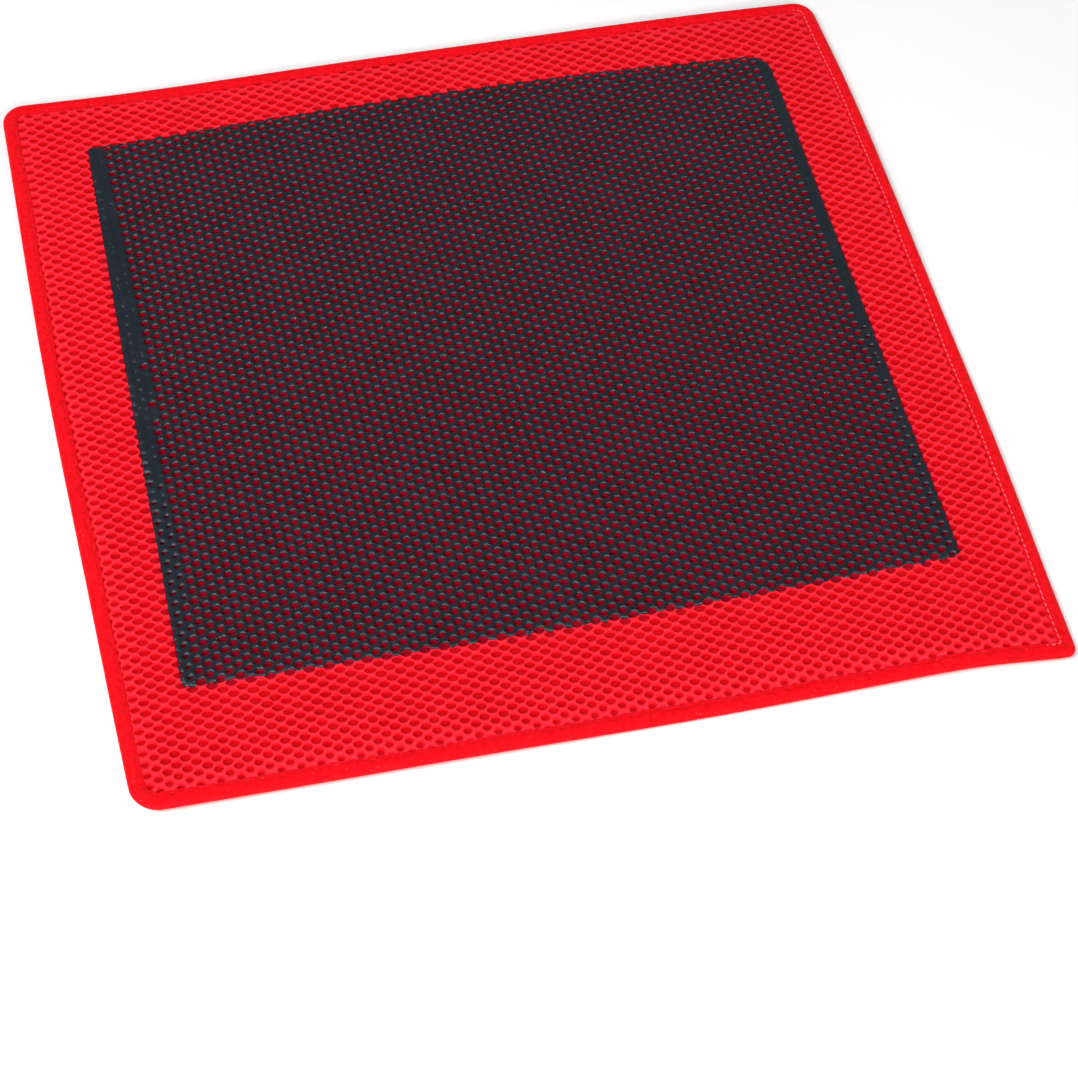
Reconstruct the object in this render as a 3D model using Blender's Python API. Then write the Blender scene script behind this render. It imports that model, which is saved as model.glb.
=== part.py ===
"""Mesh clay towel: a spacer-knit cloth with a coat of polymer clay on its face and a bound edge.

Metres, +Z up. The towel lies flat with its clay side up. The origin is on the underside, in the
middle of the outline. The towel folds in half along the line x = 0, clay side in, so every layer is
made whole and then cut there into a left and a right half. The right half turns about the fold axis.
"""

import math

import bmesh
import bpy
from mathutils import Vector

# ---- Outline of the towel, over the binding ----
TOWEL_WIDTH = 0.320
TOWEL_DEPTH = 0.312
SIDE_BOW = 0.0020  # how far the left and right edges fall back towards the corners
END_BOW = 0.0012  # how far the front and back edges fall back towards the corners
CORNER_RADII = {  # sewn by hand and eye, so no two corners are the same
    "front_right": 0.0035,
    "back_right": 0.0075,
    "back_left": 0.0085,
    "front_left": 0.0095,
}
TIGHTEST_RADIUS = 0.0010  # of a corner on any line inside the outline

# ---- Thickness of each layer, from the floor up ----
BACK_KNIT = 0.0005
PILE_HEIGHT = 0.0015
PILE_PINCHED = 0.0005  # the pile's height where the binding squeezes it
FACE_MESH = 0.0006
CLAY_COAT = 0.0006
LAYER_GAP = 0.0001  # between one layer and the next

# ---- Edge binding, a tape folded over the raw edge ----
TAPE_THICKNESS = 0.0005
TAPE_COVER = 0.0055  # how far each leg of the tape reaches in from the edge
TAPE_GAP = 0.0001  # between the tape and the cloth inside it
PLY_EDGE = 0.0012  # how far the cloth's raw edge stands in from the outline
RAMP = 0.0020  # over which the cloth rises from its pinched edge to its full height

# ---- Topstitch, one thread on each side of the towel, sunk in a groove in the tape ----
STITCH_MARGIN = 0.0009  # of the stitch line from the tape's inner edge
THREAD_DIAMETER = 0.0003
THREAD_GAP = 0.00004

# ---- Printed patch of clay ----
CLAY_MARGINS = {"left": 0.0280, "right": 0.0280, "back": 0.0235, "front": 0.0425}
CLAY_LEAN = 0.0028  # how far the patch's left edge leans, each way from its middle
CLAY_BOW = 0.0024  # how far its front and back edges fall back towards the corners
CLAY_RADII = {
    "front_right": 0.0050,
    "back_right": 0.0100,
    "back_left": 0.0040,
    "front_left": 0.0030,
}
STRIP_WIDTH = 0.0070  # of the thick, closed strip of clay along its left and right edges
STRIP_RISE = 0.0002

# ---- Fold in half ----
FOLD_CUT = 0.0003  # between the left and the right half
FOLD_CLEARANCE = 0.0008  # between the two clay faces when the towel is folded

# ---- How finely the outlines are stepped ----
CORNER_STEPS = 5
SIDE_STEPS = 8
NOSE_STEPS = 6

# ---- Sizes and levels that follow from those above ----
CLAY_WIDTH = TOWEL_WIDTH - CLAY_MARGINS["left"] - CLAY_MARGINS["right"]
CLAY_DEPTH = TOWEL_DEPTH - CLAY_MARGINS["back"] - CLAY_MARGINS["front"]
CLAY_CENTRE = (
    Vector((CLAY_MARGINS["left"] - CLAY_MARGINS["right"], CLAY_MARGINS["front"] - CLAY_MARGINS["back"]))
    / 2
)
PINCHED_STACK = BACK_KNIT + PILE_PINCHED + FACE_MESH + 2 * LAYER_GAP
TAPE_TOP = PINCHED_STACK + 2 * (TAPE_THICKNESS + TAPE_GAP)
FACE_TOP = BACK_KNIT + PILE_HEIGHT + FACE_MESH + 2 * LAYER_GAP
CLAY_BOTTOM = FACE_TOP + LAYER_GAP
CLAY_TOP = CLAY_BOTTOM + CLAY_COAT
FOLD_AXIS_HEIGHT = max(CLAY_TOP + STRIP_RISE, TAPE_TOP) + FOLD_CLEARANCE / 2
STITCH_INSET = TAPE_COVER - STITCH_MARGIN
GROOVE_HALF = THREAD_DIAMETER / 2 + THREAD_GAP
GROOVE_DEPTH = THREAD_DIAMETER + 2 * THREAD_GAP

MATERIALS = {  # colour, roughness
    "knit_red": ((0.80, 0.010, 0.025), 0.75),
    "pile_red": ((0.62, 0.006, 0.015), 0.80),
    "clay_black": ((0.020, 0.026, 0.034), 0.42),
    "binding_red": ((0.85, 0.010, 0.030), 0.70),
    "thread_pink": ((0.90, 0.120, 0.160), 0.55),
}


def clear_scene():
    for obj in list(bpy.data.objects):
        bpy.data.objects.remove(obj, do_unlink=True)


def make_material(name):
    colour, roughness = MATERIALS[name]
    material = bpy.data.materials.new(name)
    material.use_nodes = True
    shader = material.node_tree.nodes["Principled BSDF"]
    shader.inputs["Base Color"].default_value = (*colour, 1.0)
    shader.inputs["Roughness"].default_value = roughness
    shader.inputs["Metallic"].default_value = 0.0
    return material


# ---------------------------------------------------------------- outlines


def rounded_rectangle(half_width, half_depth, radii):
    """A closed outline, anticlockwise, with its corners as arcs and its sides in even steps."""
    corners = (
        (1, -1, "front_right"),
        (1, 1, "back_right"),
        (-1, 1, "back_left"),
        (-1, -1, "front_left"),
    )
    arcs = []
    for turn, (side_x, side_y, name) in enumerate(corners):
        radius = radii[name]
        centre = Vector((side_x * (half_width - radius), side_y * (half_depth - radius)))
        arc = []
        for step in range(CORNER_STEPS + 1):
            angle = math.pi / 2 * (turn - 1 + step / CORNER_STEPS)
            arc.append(centre + radius * Vector((math.cos(angle), math.sin(angle))))
        arcs.append(arc)
    outline = []
    for arc, following in zip(arcs, arcs[1:] + arcs[:1]):
        outline += arc
        for step in range(1, SIDE_STEPS):
            outline.append(arc[-1].lerp(following[0], step / SIDE_STEPS))
    return outline


def towel_outline(inset):
    """The towel's outline moved in by inset, with its edges bowed."""
    radii = {name: max(r - inset, TIGHTEST_RADIUS) for name, r in CORNER_RADII.items()}
    half_width = TOWEL_WIDTH / 2
    half_depth = TOWEL_DEPTH / 2
    outline = []
    for x, y in rounded_rectangle(half_width - inset, half_depth - inset, radii):
        across = x / half_width
        along = y / half_depth
        outline.append(Vector((x - across * SIDE_BOW * along**2, y - along * END_BOW * across**2)))
    return outline


def clay_outline(inset):
    """The printed patch's outline moved in by inset, with its left edge leaning."""
    radii = {name: max(r - inset, TIGHTEST_RADIUS) for name, r in CLAY_RADII.items()}
    half_width = CLAY_WIDTH / 2
    half_depth = CLAY_DEPTH / 2
    outline = []
    for x, y in rounded_rectangle(half_width - inset, half_depth - inset, radii):
        across = x / half_width
        along = y / half_depth
        leaned = x + CLAY_LEAN * along * (1 - across) / 2
        bowed = y - along * CLAY_BOW * across**2
        outline.append(Vector((leaned, bowed)) + CLAY_CENTRE)
    return outline


# ---------------------------------------------------------------- solids


def face_outwards(mesh):
    """Turns every face of a closed mesh outwards; thin, bent sheets need the volume's sign too."""
    bmesh.ops.recalc_face_normals(mesh, faces=mesh.faces)
    if mesh.calc_volume(signed=True) < 0:
        bmesh.ops.reverse_faces(mesh, faces=mesh.faces)


def lofted(outline_at, rings, closed_round=False):
    """A mesh through rings of (inset, height), capped at both ends or closed round into a tube."""
    mesh = bmesh.new()
    loops = []
    for inset, height in rings:
        loops.append([mesh.verts.new((x, y, height)) for x, y in outline_at(inset)])
    pairs = list(zip(loops, loops[1:]))
    if closed_round:
        pairs.append((loops[-1], loops[0]))
    else:
        mesh.faces.new(loops[0])
        mesh.faces.new(loops[-1])
    for lower, upper in pairs:
        spans = zip(lower, lower[1:] + lower[:1], upper[1:] + upper[:1], upper)
        for span in spans:
            mesh.faces.new(span)
    face_outwards(mesh)
    return mesh


def cloth_layer(pinched_low, pinched_high, full_low, full_high):
    """One layer of the cloth: pinched under the tape, then rising to its full height inside it."""
    return lofted(
        towel_outline,
        [
            (TAPE_COVER + RAMP, full_low),
            (TAPE_COVER, pinched_low),
            (PLY_EDGE, pinched_low),
            (PLY_EDGE, pinched_high),
            (TAPE_COVER, pinched_high),
            (TAPE_COVER + RAMP, full_high),
        ],
    )


def clay_patch():
    """The printed patch, with a thick strip along its left and right edges."""
    mesh = lofted(clay_outline, [(0, CLAY_BOTTOM), (0, CLAY_TOP)])
    for side in (-1, 1):
        seam = CLAY_CENTRE.x + side * (CLAY_WIDTH / 2 - STRIP_WIDTH)
        bmesh.ops.bisect_plane(
            mesh,
            geom=mesh.verts[:] + mesh.edges[:] + mesh.faces[:],
            dist=1e-7,
            plane_co=(seam, 0, 0),
            plane_no=(1, 0, 0),
        )
        strip = [
            face
            for face in mesh.faces
            if face.normal.z > 0.9 and side * (face.calc_center_median().x - seam) > 0
        ]
        raised = bmesh.ops.extrude_face_region(mesh, geom=strip)["geom"]
        bmesh.ops.delete(mesh, geom=strip, context="FACES_KEEP_BOUNDARY")
        corners = [item for item in raised if isinstance(item, bmesh.types.BMVert)]
        bmesh.ops.translate(mesh, vec=(0, 0, STRIP_RISE), verts=corners)
    face_outwards(mesh)
    return mesh


def binding_tape():
    """The folded tape: a front leg, a round nose and a back leg, with a stitch groove in each leg."""
    nose = []
    reach = TAPE_TOP / 2
    for step in range(NOSE_STEPS + 1):
        angle = math.pi * step / NOSE_STEPS
        nose.append((reach * (1 - math.sin(angle)), reach * (1 + math.cos(angle))))
    groove_in = STITCH_INSET + GROOVE_HALF
    groove_out = STITCH_INSET - GROOVE_HALF
    front_leg = [
        (TAPE_COVER, TAPE_TOP),
        (groove_in, TAPE_TOP),
        (groove_in, TAPE_TOP - GROOVE_DEPTH),
        (groove_out, TAPE_TOP - GROOVE_DEPTH),
        (groove_out, TAPE_TOP),
    ]
    back_leg = [(inset, TAPE_TOP - height) for inset, height in reversed(front_leg)]
    inside = [
        (TAPE_COVER, TAPE_THICKNESS),
        (PLY_EDGE - TAPE_GAP, TAPE_THICKNESS),
        (PLY_EDGE - TAPE_GAP, TAPE_TOP - TAPE_THICKNESS),
        (TAPE_COVER, TAPE_TOP - TAPE_THICKNESS),
    ]
    return lofted(towel_outline, front_leg + nose + back_leg + inside, closed_round=True)


def stitch_thread(height):
    """One thread of the topstitch, as a closed ring along the stitch line."""
    route = towel_outline(STITCH_INSET)
    curve = bpy.data.curves.new("thread", "CURVE")
    curve.dimensions = "3D"
    curve.bevel_depth = THREAD_DIAMETER / 2
    curve.bevel_resolution = 1
    spline = curve.splines.new("POLY")
    spline.points.add(len(route) - 1)
    for point, (x, y) in zip(spline.points, route):
        point.co = (x, y, height, 1)
    spline.use_cyclic_u = True
    guide = bpy.data.objects.new("thread", curve)
    bpy.context.scene.collection.objects.link(guide)
    bpy.context.view_layer.update()
    graph = bpy.context.evaluated_depsgraph_get()
    swept = bpy.data.meshes.new_from_object(guide.evaluated_get(graph))
    mesh = bmesh.new()
    mesh.from_mesh(swept)
    bpy.data.objects.remove(guide)
    bpy.data.meshes.remove(swept)
    bmesh.ops.remove_doubles(mesh, verts=mesh.verts, dist=1e-7)
    face_outwards(mesh)
    return mesh


# ---------------------------------------------------------------- halves


def half_of(whole, side):
    """The part of a mesh on one side of the fold, with its cut closed."""
    mesh = whole.copy()
    bmesh.ops.bisect_plane(
        mesh,
        geom=mesh.verts[:] + mesh.edges[:] + mesh.faces[:],
        dist=1e-7,
        plane_co=(side * FOLD_CUT / 2, 0, 0),
        plane_no=(side, 0, 0),
        clear_inner=True,
    )
    open_edges = [edge for edge in mesh.edges if edge.is_boundary]
    bmesh.ops.holes_fill(mesh, edges=open_edges, sides=0)
    bmesh.ops.triangulate(mesh, faces=mesh.faces)
    return mesh


def add_halves(collection, fold_axis, name, whole, material_name):
    """Adds NAME_left, which stays, and NAME_right, which hangs on the fold axis."""
    material = make_material(material_name)
    for side, word in ((-1, "left"), (1, "right")):
        half = half_of(whole, side)
        mesh = bpy.data.meshes.new(f"{name}_{word}")
        half.to_mesh(mesh)
        half.free()
        mesh.set_sharp_from_angle(angle=math.radians(30))
        mesh.materials.append(material)
        obj = bpy.data.objects.new(f"{name}_{word}", mesh)
        collection.objects.link(obj)
        if side > 0:
            mesh.transform(fold_axis.matrix_world.inverted())
            obj.parent = fold_axis
    whole.free()


def build():
    clear_scene()
    collection = bpy.data.collections.new("clay_towel")
    bpy.context.scene.collection.children.link(collection)
    fold_axis = bpy.data.objects.new("fold_axis", None)
    fold_axis.location = (0, 0, FOLD_AXIS_HEIGHT)
    collection.objects.link(fold_axis)
    bpy.context.view_layer.update()

    pinched_low = TAPE_THICKNESS + TAPE_GAP
    full_low = 0.0
    for name, pinched, full, material_name in (
        ("back_knit", BACK_KNIT, BACK_KNIT, "knit_red"),
        ("spacer_pile", PILE_PINCHED, PILE_HEIGHT, "pile_red"),
        ("face_mesh", FACE_MESH, FACE_MESH, "knit_red"),
    ):
        layer = cloth_layer(pinched_low, pinched_low + pinched, full_low, full_low + full)
        add_halves(collection, fold_axis, name, layer, material_name)
        pinched_low += pinched + LAYER_GAP
        full_low += full + LAYER_GAP

    thread_sink = GROOVE_DEPTH - THREAD_GAP - THREAD_DIAMETER / 2
    needle = stitch_thread(TAPE_TOP - thread_sink)
    bobbin = stitch_thread(thread_sink)
    add_halves(collection, fold_axis, "clay_coat", clay_patch(), "clay_black")
    add_halves(collection, fold_axis, "edge_binding", binding_tape(), "binding_red")
    add_halves(collection, fold_axis, "needle_thread", needle, "thread_pink")
    add_halves(collection, fold_axis, "bobbin_thread", bobbin, "thread_pink")


build()
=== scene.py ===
"""Mesh clay towel: the finished look of each layer, built in the order the towel is made."""

import math

import bmesh
import bpy
import numpy as np
from mathutils import Matrix, Vector


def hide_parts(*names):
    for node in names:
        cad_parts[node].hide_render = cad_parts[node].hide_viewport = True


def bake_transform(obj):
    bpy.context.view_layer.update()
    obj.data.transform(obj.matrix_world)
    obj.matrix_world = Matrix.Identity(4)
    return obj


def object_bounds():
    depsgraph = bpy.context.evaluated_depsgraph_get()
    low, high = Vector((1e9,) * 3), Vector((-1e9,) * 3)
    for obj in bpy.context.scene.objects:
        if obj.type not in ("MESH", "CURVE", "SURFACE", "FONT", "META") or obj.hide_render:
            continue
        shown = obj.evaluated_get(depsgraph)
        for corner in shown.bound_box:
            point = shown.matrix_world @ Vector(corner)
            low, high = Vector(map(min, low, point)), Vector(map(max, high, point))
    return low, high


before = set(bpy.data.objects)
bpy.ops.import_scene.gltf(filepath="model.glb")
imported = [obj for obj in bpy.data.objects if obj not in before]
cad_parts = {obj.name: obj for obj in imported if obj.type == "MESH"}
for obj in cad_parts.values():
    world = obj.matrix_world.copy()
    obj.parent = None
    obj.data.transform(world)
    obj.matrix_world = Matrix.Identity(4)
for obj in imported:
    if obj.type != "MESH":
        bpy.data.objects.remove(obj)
cad_low, cad_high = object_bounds()

# ---------------------------------------------------------------- back of the spacer cloth
# The underside of the spacer knit: a tight polyester tricot, dyed red, with a pinprick at the foot
# of every eyelet. It is knitted in one with the pile and the face, cut with round corners, and it
# lies a little uneven, so this section also says how flat cloth comes to lie.

HALF_WIDTH = cad_high.x
HALF_DEPTH = cad_high.y
SIDE_BOW = 0.0020  # how far the side edges fall back towards the corners
END_BOW = 0.0012  # how far the front and back edges fall back towards the corners
CORNER_RADII = np.array([0.0035, 0.0075, 0.0085, 0.0095])  # from the front right, anticlockwise
CORNER_SIGNS = np.array([(1, -1), (1, 1), (-1, 1), (-1, -1)])

EYELET_ACROSS = 0.00645  # from one eyelet to the next in its row
EYELET_ALONG = 0.00425  # from one eyelet to the next in its column; odd columns sit half way
CELL_SIZE = np.array([EYELET_ACROSS / 3, EYELET_ALONG / math.sqrt(3)])
CLOTH_EDGE = 0.0036  # the nearest an eyelet's middle comes to the towel's outline
TAPE_COVER = 0.0055  # how far the binding reaches in
FULL_CLOTH = (0.0, 0.00285)  # the cloth's underside and top where nothing squeezes it
PINCHED_CLOTH = (0.0006, 0.0023)  # the same under the binding
FOLD_REACH = 0.0040  # how far from the fold line the cloth still bends
FOLD_STRIP = 0.0008  # the widest a flat face may be where it bends


def edge_inset(x, y):
    """How far in from the towel's outline each point lies."""
    across = np.abs(x) + SIDE_BOW * np.abs(x) / HALF_WIDTH * (y / HALF_DEPTH) ** 2
    along = np.abs(y) + END_BOW * np.abs(y) / HALF_DEPTH * (x / HALF_WIDTH) ** 2
    corner = np.where(x > 0, np.where(y > 0, 1, 0), np.where(y > 0, 2, 3))
    radius = CORNER_RADII[corner]
    past_x = across - (HALF_WIDTH - radius)
    past_y = along - (HALF_DEPTH - radius)
    round_corner = np.hypot(np.maximum(past_x, 0), np.maximum(past_y, 0))
    return radius - round_corner - np.minimum(np.maximum(past_x, past_y), 0)


def ease(value, low, high):
    """0 at low and 1 at high, with a soft start and end."""
    share = np.clip((value - low) / (high - low), 0, 1)
    return share * share * (3 - 2 * share)


def chance(a, b, salt=0.0):
    """An even spread of numbers from 0 to 1, always the same for the same a and b."""
    return np.modf(np.abs(np.sin(a * 127.1 + b * 311.7 + salt * 74.7)) * 43758.5453)[0]


def lay(flat):
    """Where points of the flat cloth come to lie: drawn a little askew, and not quite flat."""
    x, y, z = flat[:, 0], flat[:, 1], flat[:, 2]
    laid = flat.copy()
    # the edges wander a little, and the front right and back right corners are pulled
    laid[:, 0] += 0.0004 * np.sin(y / 0.031 + 0.6) * np.cos(x / 0.074)
    laid[:, 1] += 0.0007 * np.sin(x / 0.042 + 0.4) * np.cos(y / 0.115 - 0.5)
    tug = np.exp(-((x - HALF_WIDTH) ** 2 + (y + HALF_DEPTH) ** 2) / 0.026**2)
    laid[:, 0] += 0.0004 * tug
    laid[:, 1] -= 0.0034 * tug
    laid[:, 0] -= 0.0015 * np.exp(-((x - HALF_WIDTH) ** 2 + (y - HALF_DEPTH) ** 2) / 0.035**2)
    # the edge ripples, the middle undulates, and the back left corner lifts
    edge = 1 - ease(edge_inset(x, y), 0.0, 0.045)
    ripple = 0.00022 * (1 + np.sin(x / 0.023 + y / 0.051)) + 0.0002 * (1 + np.cos(y / 0.019 - x / 0.06))
    lift = 0.0003 * (1 + np.sin(x / 0.047 + 1.1) * np.cos(y / 0.039 + 0.3))
    corner_lift = 0.0008 * np.exp(-((x + HALF_WIDTH) ** 2 + (y - HALF_DEPTH) ** 2) / 0.03**2)
    laid[:, 2] = z + lift + edge * ripple + corner_lift
    return laid


def squeeze(flat):
    """Thins the cloth's layers where the binding grips them."""
    free = ease(edge_inset(flat[:, 0], flat[:, 1]), TAPE_COVER - 0.0010, TAPE_COVER + 0.0042)
    low = PINCHED_CLOTH[0] + (FULL_CLOTH[0] - PINCHED_CLOTH[0]) * free
    high = PINCHED_CLOTH[1] + (FULL_CLOTH[1] - PINCHED_CLOTH[1]) * free
    squeezed = flat.copy()
    squeezed[:, 2] = low + flat[:, 2] / FULL_CLOTH[1] * (high - low)
    return squeezed


def eyelet_cell(x, y):
    """Each point's eyelet cell: its middle, how near the point is to its rim, and its bearing."""
    even = np.stack([np.round(x / EYELET_ACROSS), np.round(y / EYELET_ALONG)], axis=-1)
    odd = np.stack([np.floor(x / EYELET_ACROSS), np.floor(y / EYELET_ALONG)], axis=-1) + 0.5
    pitch = np.array([EYELET_ACROSS, EYELET_ALONG])
    here = np.stack([x, y], axis=-1)
    to_even = (here - even * pitch) / CELL_SIZE
    to_odd = (here - odd * pitch) / CELL_SIZE
    nearer = (to_even**2).sum(axis=-1) <= (to_odd**2).sum(axis=-1)
    middle = np.where(nearer[..., None], even, odd) * pitch
    way = np.where(nearer[..., None], to_even, to_odd)
    slant = math.sqrt(3) / 2 * np.abs(way[..., 0]) + 0.5 * np.abs(way[..., 1])
    rim = np.maximum(slant, np.abs(way[..., 1])) / (math.sqrt(3) / 2)
    angle = np.arctan2(way[..., 1], way[..., 0])
    return middle, rim, angle


def eyelet_cells(keep):
    """Flat six-sided cells of cloth, edge to edge, one for each eyelet whose middle keep picks."""
    cells = bmesh.new()
    size = Matrix.Diagonal((*CELL_SIZE, 1, 1))
    turn = Matrix.Rotation(math.pi / 2, 4, "Z")
    start = Matrix.Translation((-32 * EYELET_ACROSS, -64 * EYELET_ALONG, 0))
    bmesh.ops.create_circle(cells, cap_ends=True, segments=6, radius=1, matrix=start @ size @ turn)
    half_step = Vector((EYELET_ACROSS / 2, EYELET_ALONG / 2, 0))
    steps = [half_step]
    steps += [Vector((EYELET_ACROSS, 0, 0)) * 2**doubling for doubling in range(6)]
    steps += [Vector((0, EYELET_ALONG, 0)) * 2**doubling for doubling in range(7)]
    for step in steps:
        copies = bmesh.ops.duplicate(cells, geom=cells.faces[:])["geom"]
        corners = [item for item in copies if isinstance(item, bmesh.types.BMVert)]
        bmesh.ops.translate(cells, vec=step, verts=corners)
    faces = cells.faces[:]
    middles = np.array([face.calc_center_median() for face in faces])
    kept = keep(middles[:, 0], middles[:, 1])
    dropped = [face for face, stays in zip(faces, kept) if not stays]
    bmesh.ops.delete(cells, geom=dropped, context="FACES")
    bmesh.ops.remove_doubles(cells, verts=cells.verts, dist=0.00005)
    return cells


def in_cloth(x, y):
    """Whether an eyelet's middle is far enough in for its cell to be cloth."""
    return edge_inset(x, y) > CLOTH_EDGE


def open_eyelets(cells, rings, closed=None):
    """Rings each cell towards its middle, then opens it, unless closed picks its middle."""
    inner = cells.faces[:]
    for _ in range(rings):
        bmesh.ops.inset_individual(cells, faces=inner, thickness=0.00025, use_even_offset=True)
    middles = np.array([face.calc_center_median() for face in inner])
    shut = closed(middles[:, 0], middles[:, 1]) if closed else np.zeros(len(inner), bool)
    holes = [face for face, stays in zip(inner, shut) if not stays]
    bmesh.ops.delete(cells, geom=holes, context="FACES_ONLY")


def points_of(cells):
    """Every point of a bmesh, as rows."""
    return np.array([vert.co for vert in cells.verts], float)


def move_points(cells, points):
    """Puts a bmesh's points at the rows given, in the same order."""
    for vert, point in zip(cells.verts, points):
        vert.co = point


def clear_beyond(cells, place, away):
    """Cuts a closed mesh with a plane, drops what lies beyond it, and caps the cut."""
    bmesh.ops.bisect_plane(
        cells,
        geom=cells.verts[:] + cells.edges[:] + cells.faces[:],
        dist=1e-7,
        plane_co=place,
        plane_no=away,
        clear_outer=True,
    )
    open_edges = [edge for edge in cells.edges if edge.is_boundary]
    bmesh.ops.holes_fill(cells, edges=open_edges, sides=0)


def cut_at_fold(cells):
    """Cuts the wide faces near the fold line into strips, so that they can bend round it."""
    strips = round(2 * FOLD_REACH / FOLD_STRIP)
    for place in np.linspace(-FOLD_REACH, FOLD_REACH, strips + 1):
        near = [face for face in cells.faces if abs(face.calc_center_median().x) < 2 * FOLD_REACH]
        edges = {edge for face in near for edge in face.edges}
        verts = {vert for face in near for vert in face.verts}
        geom = [*verts, *edges, *near]
        bmesh.ops.bisect_plane(cells, geom=geom, dist=1e-7, plane_co=(place, 0, 0), plane_no=(1, 0, 0))


def mesh_from(name, cells):
    """A mesh of a closed bmesh, facing out, with its two maps of the flat cloth."""
    bmesh.ops.recalc_face_normals(cells, faces=cells.faces)
    if cells.calc_volume(signed=True) < 0:
        bmesh.ops.reverse_faces(cells, faces=cells.faces)
    mesh = bpy.data.meshes.new(name)
    cells.to_mesh(mesh)
    cells.free()
    points = mesh_points(mesh)
    corner_vertex = np.empty(len(mesh.loops), np.int32)
    mesh.loops.foreach_get("vertex_index", corner_vertex)
    corner = points[corner_vertex]
    cut = mesh.uv_layers.new(name="cut")  # centimetres of the flat cloth
    cut.data.foreach_set("uv", (corner[:, :2] * 100).astype(np.float32).ravel())

    face_middle = np.empty(len(mesh.polygons) * 3, np.float32)
    mesh.polygons.foreach_get("center", face_middle)
    face_middle = face_middle.reshape(-1, 3)
    corners_in_face = np.empty(len(mesh.polygons), np.int32)
    mesh.polygons.foreach_get("loop_total", corners_in_face)
    face = np.repeat(np.arange(len(mesh.polygons)), corners_in_face)
    eyelet, _, face_angle = eyelet_cell(face_middle[:, 0], face_middle[:, 1])
    way = (corner[:, :2] - eyelet[face]) / CELL_SIZE
    turn = np.arctan2(way[:, 1], way[:, 0]) - face_angle[face]
    turn = (turn + math.pi) % (2 * math.pi) - math.pi
    around = (face_angle[face] + turn) / (2 * math.pi)
    inward = (1 - np.hypot(way[:, 0], way[:, 1])) * 0.2 + (FULL_CLOTH[1] - corner[:, 2]) * 100
    yarn = mesh.uv_layers.new(name="yarn")  # turns round the eyelet, and centimetres down into it
    yarn.data.foreach_set("uv", np.stack([around, inward], axis=1).astype(np.float32).ravel())
    return mesh


def mesh_points(mesh):
    """Every point of a finished mesh, as rows."""
    points = np.empty(len(mesh.vertices) * 3, np.float32)
    mesh.vertices.foreach_get("co", points)
    return points.reshape(-1, 3).astype(float)


def lay_mesh(mesh, points):
    """Gives a finished mesh the places its flat points come to lie in."""
    mesh.vertices.foreach_set("co", lay(points).astype(np.float32).ravel())
    mesh.update()


def add_piece(mesh, material, nodes, sharp=85):
    """Puts a finished mesh in the scene as a piece, smooth shaded with its material, in place of the model's
    parts named in nodes.
    """
    mesh.shade_smooth()
    mesh.set_sharp_from_angle(angle=math.radians(sharp))
    mesh.materials.append(material)
    piece = bpy.data.objects.new(mesh.name, mesh)
    bpy.context.scene.collection.objects.link(piece)
    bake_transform(piece)
    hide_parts(*nodes)
    return piece


def node(tree, kind, inputs=(), **settings):
    """Adds a shader node, with its sockets set to values or fed from other sockets."""
    made = tree.nodes.new(kind)
    for name, value in settings.items():
        setattr(made, name, value)
    for socket, value in dict(inputs).items():
        if isinstance(value, bpy.types.NodeSocket):
            tree.links.new(value, made.inputs[socket])
        else:
            made.inputs[socket].default_value = value
    return made


def sums(tree, operation, first, second=0.0, third=0.0):
    """One step of arithmetic in a material."""
    return node(tree, "ShaderNodeMath", {0: first, 1: second, 2: third}, operation=operation).outputs[0]


def node_group(name, inputs, outputs):
    """An empty shader group with named inputs and outputs."""
    group = bpy.data.node_groups.new(name, "ShaderNodeTree")
    for label, (kind, value) in inputs.items():
        socket = group.interface.new_socket(label, in_out="INPUT", socket_type=kind)
        socket.default_value = value
    for label in outputs:
        group.interface.new_socket(label, in_out="OUTPUT", socket_type="NodeSocketFloat")
    return group, node(group, "NodeGroupInput"), node(group, "NodeGroupOutput")


def plain_material(name, roughness, specular, sheen, sheen_tint=(1, 1, 1, 1)):
    """A material whose surface-wide numbers are set on the shader, ready for its patterns."""
    material = bpy.data.materials.new(name)
    material.use_nodes = True
    shader = material.node_tree.nodes["Principled BSDF"]
    shader.inputs["Roughness"].default_value = roughness
    shader.inputs["Specular IOR Level"].default_value = specular
    shader.inputs["Sheen Weight"].default_value = sheen
    shader.inputs["Sheen Tint"].default_value = sheen_tint
    return material, material.node_tree, shader


# Twisted yarn: plied strands that lie across a bar of knitting, with fuzz and shaded gaps.
yarn_group, given, put_out = node_group(
    "Twisted yarn",
    {
        "Map": ("NodeSocketVector", (0, 0, 0)),
        "Strands": ("NodeSocketFloat", 20.0),
        "Slant": ("NodeSocketFloat", 14.0),
        "Fuzz": ("NodeSocketFloat", 0.4),
    },
    ("Height", "Shade"),
)
parts = node(yarn_group, "ShaderNodeSeparateXYZ", {0: given.outputs["Map"]})
strand = sums(yarn_group, "MULTIPLY", parts.outputs[0], given.outputs["Strands"])
strand = sums(yarn_group, "MULTIPLY_ADD", parts.outputs[1], given.outputs["Slant"], strand)
wave = sums(yarn_group, "SINE", sums(yarn_group, "MULTIPLY", strand, 2 * math.pi))
wave = sums(yarn_group, "MULTIPLY_ADD", wave, 0.5, 0.5)
fuzz = node(yarn_group, "ShaderNodeTexNoise", {"Vector": given.outputs["Map"], "Scale": 60.0, "Detail": 3.0})
fuzz = sums(yarn_group, "MULTIPLY", sums(yarn_group, "SUBTRACT", fuzz.outputs[0], 0.5), given.outputs["Fuzz"])
height = sums(yarn_group, "ADD", wave, fuzz)
yarn_group.links.new(height, put_out.inputs["Height"])
shade = sums(yarn_group, "POWER", sums(yarn_group, "MAXIMUM", height, 0.0), 0.6)
yarn_group.links.new(shade, put_out.inputs["Shade"])

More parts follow.
